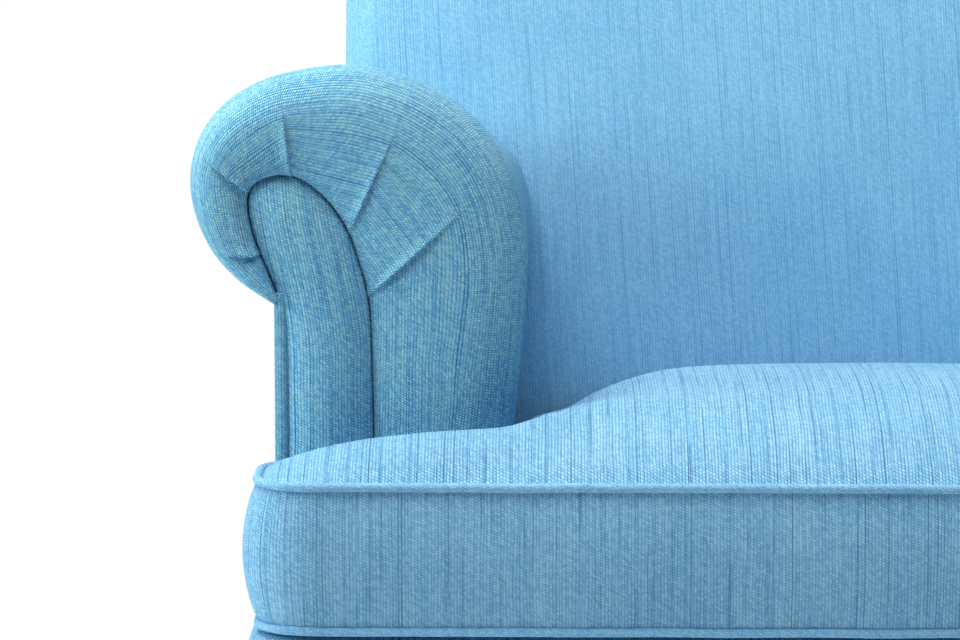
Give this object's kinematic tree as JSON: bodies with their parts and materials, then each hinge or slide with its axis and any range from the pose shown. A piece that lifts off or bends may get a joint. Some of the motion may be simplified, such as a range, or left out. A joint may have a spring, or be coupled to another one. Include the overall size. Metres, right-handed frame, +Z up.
{
  "type": "armchair",
  "caption": "Upholstered rolled-arm armchair with pleated scroll arm fronts, a loose T-shaped welted seat cushion and a tight reclined back, on short wooden legs",
  "frame": {"origin": "on the floor, under the middle of the bounding box", "axes": "+X to the right-hand side of the image of a viewer facing the chair, -Y the way the chair faces, +Z up"},
  "size_m": [1, 0.802, 0.916],
  "materials": {
    "blue_tweed": "coarse broken-twill upholstery tweed, matte, light blue with darker grooves and slubs",
    "blue_welt": "bias-cut strip of the same tweed round a cord",
    "deck_cloth": "plain decking cloth under the seat cushion",
    "dust_cloth": "thin black non-woven bottom cloth",
    "foam": "open-cell polyurethane foam",
    "fibre_wadding": "white polyester fibre wadding",
    "hessian": "plain jute hessian",
    "webbing": "woven jute and elastic webbing",
    "zip_tape": "nylon coil zip and its tape",
    "zip_metal": "nickel-plated zip slider",
    "facing_board": "thin plywood facing board",
    "frame_beech": "planed beech, unfinished",
    "dowel_birch": "fluted birch dowels",
    "leg_wood": "turned hardwood, dark walnut stain, satin lacquer",
    "spring_steel": "oil-tempered spring wire",
    "zinc_hardware": "zinc-plated steel",
    "glide_plastic": "moulded nylon glide"
  },
  "bodies": {
    "chair": {"arm_cover_left": "blue_tweed", "arm_cover_right": "blue_tweed", "arm_facing_board_left": "facing_board", "arm_facing_board_right": "facing_board", "arm_facing_pad_left": "blue_tweed", "arm_facing_pad_right": "blue_tweed", "arm_hessian": "hessian", "arm_padding_left": "foam", "arm_padding_right": "foam", "arm_rail_left": "frame_beech", "arm_rail_right": "frame_beech", "arm_stump_left": "frame_beech", "arm_stump_right": "frame_beech", "arm_tuck_rail_left": "frame_beech", "arm_tuck_rail_right": "frame_beech", "arm_webbing": "webbing", "back_foam": "foam", "back_hessian": "hessian", "back_post_left": "frame_beech", "back_post_right": "frame_beech", "back_webbing": "webbing", "corner_blocks_front": "frame_beech", "corner_blocks_rear": "frame_beech", "crest_rail": "frame_beech", "deck_cover": "deck_cloth", "deck_foam": "foam", "deck_hessian": "hessian", "dust_cover": "dust_cloth", "foot_glides": "glide_plastic", "frame_dowels": "dowel_birch", "frame_screws": "zinc_hardware", "front_border_cover": "blue_tweed", "front_border_pad": "foam", "front_leg_left": "leg_wood", "front_leg_right": "leg_wood", "front_seat_rail": "frame_beech", "inside_back_cover": "blue_tweed", "leg_bolts": "zinc_hardware", "lower_back_rail": "frame_beech", "outside_arm_panel_left": "blue_tweed", "outside_arm_panel_right": "blue_tweed", "outside_back_panel": "blue_tweed", "rear_leg_left": "leg_wood", "rear_leg_right": "leg_wood", "rear_seat_rail": "frame_beech", "seat_springs": "spring_steel", "side_seat_rail_left": "frame_beech", "side_seat_rail_right": "frame_beech", "spring_brace": "frame_beech", "spring_clips": "zinc_hardware", "spring_tie_wires": "spring_steel"},
    "seat_cushion": {"cushion_border": "blue_tweed", "cushion_bottom_cover": "blue_tweed", "cushion_foam": "foam", "cushion_rear_border": "blue_tweed", "cushion_top_cover": "blue_tweed", "cushion_welts": "blue_welt", "cushion_wrap": "fibre_wadding", "cushion_zip": "zip_tape"},
    "zip_slider": {"zip_slider": "zip_metal"}
  },
  "joints": [
    {"name": "cushion_lift", "type": "slide", "parent": "chair", "child": "seat_cushion", "axis": [0, 0, 1], "range_m": [0, 0.45]},
    {"name": "zip_run", "type": "slide", "parent": "seat_cushion", "child": "zip_slider", "axis": [-1, 0, 0], "range_m": [0, 0.378]}
  ]
}
